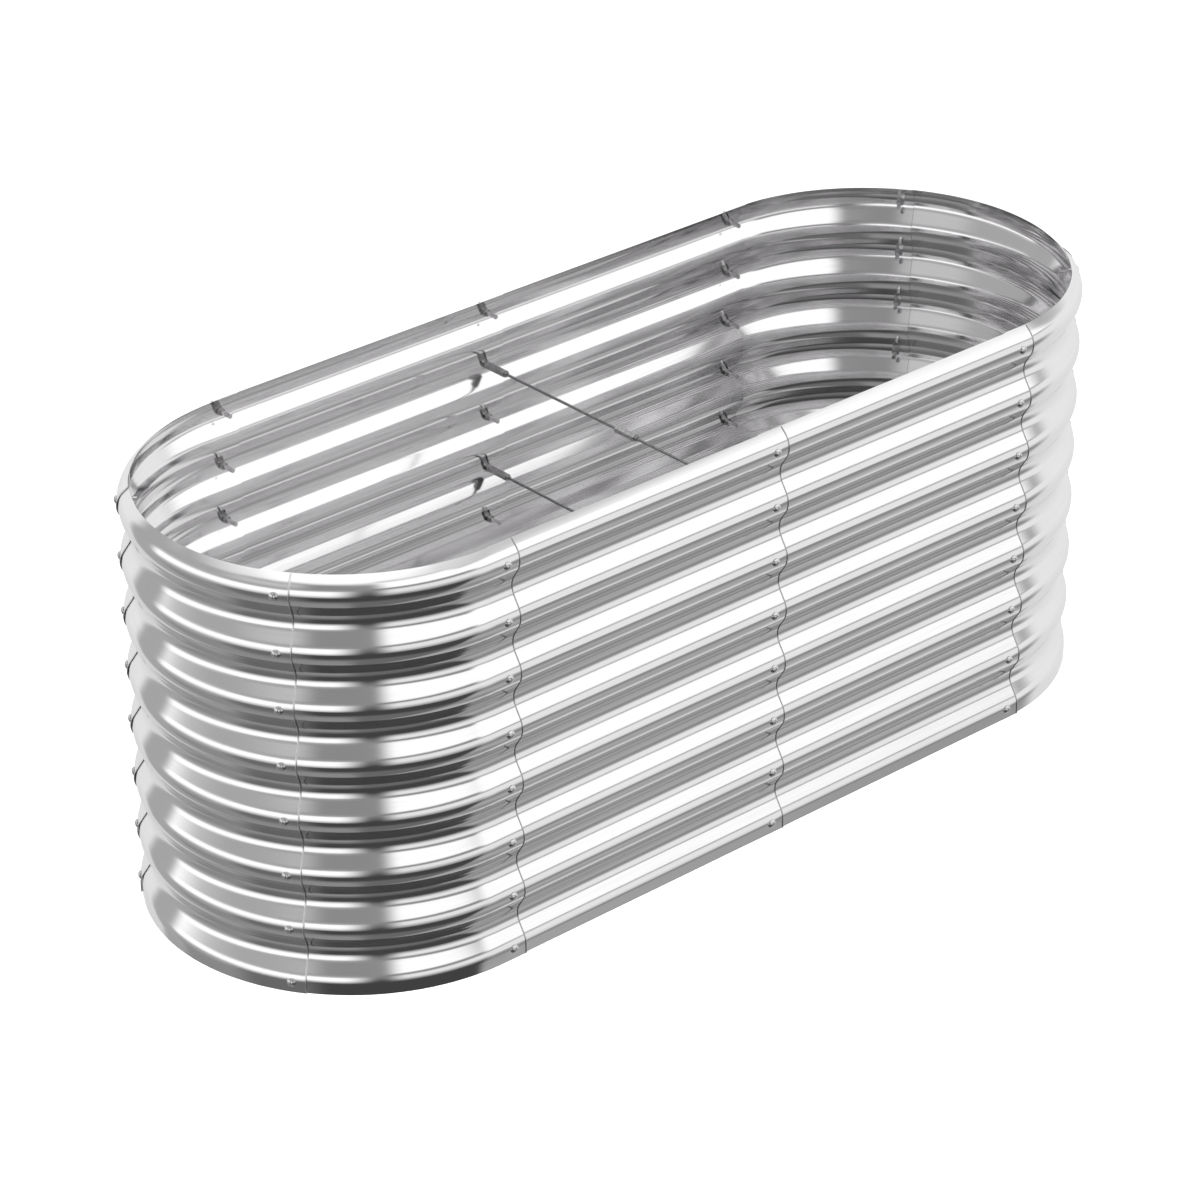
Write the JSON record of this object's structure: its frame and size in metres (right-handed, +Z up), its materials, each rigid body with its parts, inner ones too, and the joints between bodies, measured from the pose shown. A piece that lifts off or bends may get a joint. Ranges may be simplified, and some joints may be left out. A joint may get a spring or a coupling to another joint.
{
  "type": "raised garden bed",
  "caption": "Long oval raised garden bed of bolted corrugated galvanised sheet, open at top and bottom, with threaded cross braces between its long walls.",
  "frame": {"origin": "on the ground, under the middle of the bed", "axes": "+X along the bed, +Y across it towards the back long wall, +Z up"},
  "size_m": [1.5199, 0.5922, 0.6001],
  "materials": {
    "galvanised_sheet": "bright galvanised, slightly grained",
    "plated_bolts": "bright zinc plate",
    "plated_nuts": "bright zinc plate",
    "brace_sleeves": "bright zinc plate",
    "brace_rods": "bright zinc plate"
  },
  "bodies": {
    "root": {"front_right_panel": "galvanised_sheet", "right_end_front_panel": "galvanised_sheet", "right_end_middle_panel": "galvanised_sheet", "right_end_back_panel": "galvanised_sheet", "back_right_panel": "galvanised_sheet", "back_left_panel": "galvanised_sheet", "left_end_back_panel": "galvanised_sheet", "left_end_middle_panel": "galvanised_sheet", "left_end_front_panel": "galvanised_sheet", "front_left_panel": "galvanised_sheet", "front_middle_bolts": "plated_bolts", "front_middle_nuts": "plated_nuts", "front_right_bolts": "plated_bolts", "front_right_nuts": "plated_nuts", "right_end_front_bolts": "plated_bolts", "right_end_front_nuts": "plated_nuts", "right_end_back_bolts": "plated_bolts", "right_end_back_nuts": "plated_nuts", "back_right_bolts": "plated_bolts", "back_right_nuts": "plated_nuts", "back_middle_bolts": "plated_bolts", "back_middle_nuts": "plated_nuts", "back_left_bolts": "plated_bolts", "back_left_nuts": "plated_nuts", "left_end_back_bolts": "plated_bolts", "left_end_back_nuts": "plated_nuts", "left_end_front_bolts": "plated_bolts", "left_end_front_nuts": "plated_nuts", "front_left_bolts": "plated_bolts", "front_left_nuts": "plated_nuts", "upper_brace_front_sleeve": "brace_sleeves", "upper_brace_front_rod": "brace_rods", "upper_brace_coupling": "brace_sleeves", "upper_brace_back_rod": "brace_rods", "upper_brace_back_sleeve": "brace_sleeves", "upper_brace_lock_nuts": "plated_nuts", "lower_brace_front_sleeve": "brace_sleeves", "lower_brace_front_rod": "brace_rods", "lower_brace_coupling": "brace_sleeves", "lower_brace_back_rod": "brace_rods", "lower_brace_back_sleeve": "brace_sleeves", "lower_brace_lock_nuts": "plated_nuts"}
  },
  "joints": []
}
